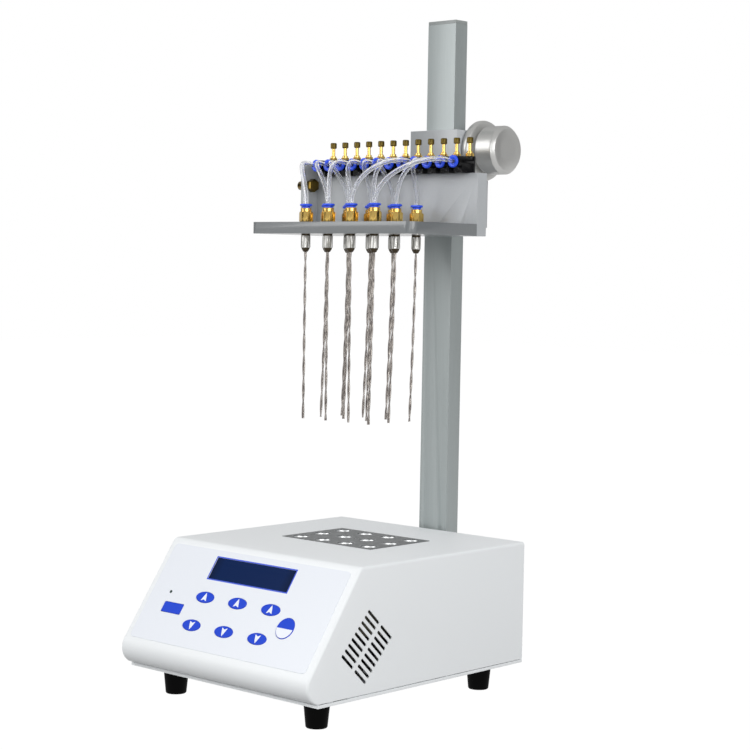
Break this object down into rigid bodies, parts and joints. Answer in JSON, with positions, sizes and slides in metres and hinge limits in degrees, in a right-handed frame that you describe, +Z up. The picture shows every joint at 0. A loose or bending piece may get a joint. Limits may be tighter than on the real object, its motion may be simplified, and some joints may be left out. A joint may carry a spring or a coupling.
{
  "type": "nitrogen sample evaporator",
  "caption": "Bench heater with a drilled block and a sloped key panel; a column with rack and knob carries a gas head of valves, clear tubes and long needles.",
  "frame": {"origin": "centre of the footprint of the whole part, on the bench under the feet", "axes": "+Z up; the sloped key panel faces -Y; the knob is on the +X side"},
  "size_m": [0.22, 0.3208, 0.583],
  "materials": {
    "cover_paint": "smooth white powder coat",
    "panel_film": "printed film, satin",
    "display": "dark blue liquid crystal window",
    "circuit_board": "green solder mask",
    "key_plastic": "domed blue key caps",
    "lamp_lens": "small tinted lens",
    "block_metal": "milled and dark anodised",
    "cast_seat": "cast",
    "heater_mat": "silicone heater mat",
    "insulation": "mineral fibre board",
    "probe_steel": "drawn sheath",
    "black_moulding": "moulded",
    "foot_rubber": "glossy black rubber",
    "screw_steel": "zinc plated",
    "column_metal": "satin grey",
    "head_paint": "satin grey",
    "rack_steel": "cut teeth",
    "bush_bronze": "sintered",
    "knob_metal": "turned with fine grooves",
    "brass": "turned",
    "valve_black": "moulded",
    "collar_blue": "moulded",
    "screw_brass": "knurled head",
    "chuck_nickel": "nickel plated",
    "needle_steel": "drawn tube",
    "clear_tube": "clear flexible tube"
  },
  "bodies": {
    "base": {"top_cover": "cover_paint", "chassis_tray": "cover_paint", "front_overlay": "panel_film", "display_module": "display", "control_board": "circuit_board", "run_lamp": "lamp_lens", "block_seat": "cast_seat", "heater_plate": "heater_mat", "insulation_jacket": "insulation", "temperature_probe": "probe_steel", "power_board": "circuit_board", "mains_inlet": "black_moulding", "switch_frame": "black_moulding", "rubber_feet": "foot_rubber", "housing_screws": "screw_steel", "column": "column_metal", "column_cap": "column_metal", "column_bracket": "column_metal", "column_bolts": "screw_steel", "rack": "rack_steel"},
    "heating_block": {"heating_block": "block_metal"},
    "rocker": {"power_rocker": "black_moulding"},
    "head": {"carriage": "head_paint", "shaft_bushes": "bush_bronze", "head_arm": "head_paint", "head_screws": "screw_steel", "gas_chamber": "head_paint", "inlet_plate": "head_paint", "gas_inlet": "brass", "needle_plate": "head_paint", "valve_bodies": "valve_black", "push_in_collars": "collar_blue", "valve_nuts": "brass", "needle_fittings": "brass", "needle_chucks": "chuck_nickel", "needles": "needle_steel", "gas_tubes": "clear_tube"},
    "knob": {"knob": "knob_metal", "knob_set_screw": "screw_steel", "pinion_shaft": "rack_steel"},
    "program_key": {"program_key": "key_plastic"},
    "start_stop_key": {"start_stop_key": "key_plastic"},
    "number_up_key": {"number_up_key": "key_plastic"},
    "number_down_key": {"number_down_key": "key_plastic"},
    "temperature_up_key": {"temperature_up_key": "key_plastic"},
    "temperature_down_key": {"temperature_down_key": "key_plastic"},
    "time_up_key": {"time_up_key": "key_plastic"},
    "time_down_key": {"time_down_key": "key_plastic"},
    "valve_screw_01": {"valve_screw_01": "screw_brass"},
    "valve_screw_02": {"valve_screw_02": "screw_brass"},
    "valve_screw_03": {"valve_screw_03": "screw_brass"},
    "valve_screw_04": {"valve_screw_04": "screw_brass"},
    "valve_screw_05": {"valve_screw_05": "screw_brass"},
    "valve_screw_06": {"valve_screw_06": "screw_brass"},
    "valve_screw_07": {"valve_screw_07": "screw_brass"},
    "valve_screw_08": {"valve_screw_08": "screw_brass"},
    "valve_screw_09": {"valve_screw_09": "screw_brass"},
    "valve_screw_10": {"valve_screw_10": "screw_brass"},
    "valve_screw_11": {"valve_screw_11": "screw_brass"},
    "valve_screw_12": {"valve_screw_12": "screw_brass"}
  },
  "joints": [
    {"name": "head_lift", "type": "slide", "parent": "base", "child": "head", "axis": [0, 0, 1], "range_m": [-0.088, 0.09]},
    {"name": "knob_turn", "type": "hinge", "parent": "head", "child": "knob", "pos_m": [0, 0.13361, 0.468], "axis": [1, 0, 0], "range_deg": [-640, 650]},
    {"name": "block_lift", "type": "slide", "parent": "base", "child": "heating_block", "axis": [0, 0, 1], "range_m": [0, 0.045]},
    {"name": "rocker_tip", "type": "hinge", "parent": "base", "child": "rocker", "pos_m": [0.062, 0.10391, 0.063], "axis": [1, 0, 0], "range_deg": [-20, 0]},
    {"name": "program_key_press", "type": "slide", "parent": "base", "child": "program_key", "axis": [0, 0.8192, -0.5736], "range_m": [0, 0.0004], "stiffness_N_per_m": 1000, "springref_m": -0.0005},
    {"name": "start_stop_key_press", "type": "slide", "parent": "base", "child": "start_stop_key", "axis": [0, 0.8192, -0.5736], "range_m": [0, 0.0004], "stiffness_N_per_m": 1000, "springref_m": -0.0005},
    {"name": "number_up_key_press", "type": "slide", "parent": "base", "child": "number_up_key", "axis": [0, 0.8192, -0.5736], "range_m": [0, 0.0004], "stiffness_N_per_m": 1000, "springref_m": -0.0005},
    {"name": "number_down_key_press", "type": "slide", "parent": "base", "child": "number_down_key", "axis": [0, 0.8192, -0.5736], "range_m": [0, 0.0004], "stiffness_N_per_m": 1000, "springref_m": -0.0005},
    {"name": "temperature_up_key_press", "type": "slide", "parent": "base", "child": "temperature_up_key", "axis": [0, 0.8192, -0.5736], "range_m": [0, 0.0004], "stiffness_N_per_m": 1000, "springref_m": -0.0005},
    {"name": "temperature_down_key_press", "type": "slide", "parent": "base", "child": "temperature_down_key", "axis": [0, 0.8192, -0.5736], "range_m": [0, 0.0004], "stiffness_N_per_m": 1000, "springref_m": -0.0005},
    {"name": "time_up_key_press", "type": "slide", "parent": "base", "child": "time_up_key", "axis": [0, 0.8192, -0.5736], "range_m": [0, 0.0004], "stiffness_N_per_m": 1000, "springref_m": -0.0005},
    {"name": "time_down_key_press", "type": "slide", "parent": "base", "child": "time_down_key", "axis": [0, 0.8192, -0.5736], "range_m": [0, 0.0004], "stiffness_N_per_m": 1000, "springref_m": -0.0005},
    {"name": "valve_screw_01_turn", "type": "hinge", "parent": "head", "child": "valve_screw_01", "pos_m": [-0.07975, 0.05691, 0.4576], "axis": [0, 0, 1], "range_deg": [-360, 360]},
    {"name": "valve_screw_02_turn", "type": "hinge", "parent": "head", "child": "valve_screw_02", "pos_m": [-0.06525, 0.05691, 0.4576], "axis": [0, 0, 1], "range_deg": [-360, 360]},
    {"name": "valve_screw_03_turn", "type": "hinge", "parent": "head", "child": "valve_screw_03", "pos_m": [-0.05075, 0.05691, 0.4576], "axis": [0, 0, 1], "range_deg": [-360, 360]},
    {"name": "valve_screw_04_turn", "type": "hinge", "parent": "head", "child": "valve_screw_04", "pos_m": [-0.03625, 0.05691, 0.4576], "axis": [0, 0, 1], "range_deg": [-360, 360]},
    {"name": "valve_screw_05_turn", "type": "hinge", "parent": "head", "child": "valve_screw_05", "pos_m": [-0.02175, 0.05691, 0.4576], "axis": [0, 0, 1], "range_deg": [-360, 360]},
    {"name": "valve_screw_06_turn", "type": "hinge", "parent": "head", "child": "valve_screw_06", "pos_m": [-0.00725, 0.05691, 0.4576], "axis": [0, 0, 1], "range_deg": [-360, 360]},
    {"name": "valve_screw_07_turn", "type": "hinge", "parent": "head", "child": "valve_screw_07", "pos_m": [0.00725, 0.05691, 0.4576], "axis": [0, 0, 1], "range_deg": [-360, 360]},
    {"name": "valve_screw_08_turn", "type": "hinge", "parent": "head", "child": "valve_screw_08", "pos_m": [0.02175, 0.05691, 0.4576], "axis": [0, 0, 1], "range_deg": [-360, 360]},
    {"name": "valve_screw_09_turn", "type": "hinge", "parent": "head", "child": "valve_screw_09", "pos_m": [0.03625, 0.05691, 0.4576], "axis": [0, 0, 1], "range_deg": [-360, 360]},
    {"name": "valve_screw_10_turn", "type": "hinge", "parent": "head", "child": "valve_screw_10", "pos_m": [0.05075, 0.05691, 0.4576], "axis": [0, 0, 1], "range_deg": [-360, 360]},
    {"name": "valve_screw_11_turn", "type": "hinge", "parent": "head", "child": "valve_screw_11", "pos_m": [0.06525, 0.05691, 0.4576], "axis": [0, 0, 1], "range_deg": [-360, 360]},
    {"name": "valve_screw_12_turn", "type": "hinge", "parent": "head", "child": "valve_screw_12", "pos_m": [0.07975, 0.05691, 0.4576], "axis": [0, 0, 1], "range_deg": [-360, 360]}
  ],
  "couplings": [
    {"joint": "knob_turn", "follows": "head_lift", "rad_per_m": 125}
  ]
}
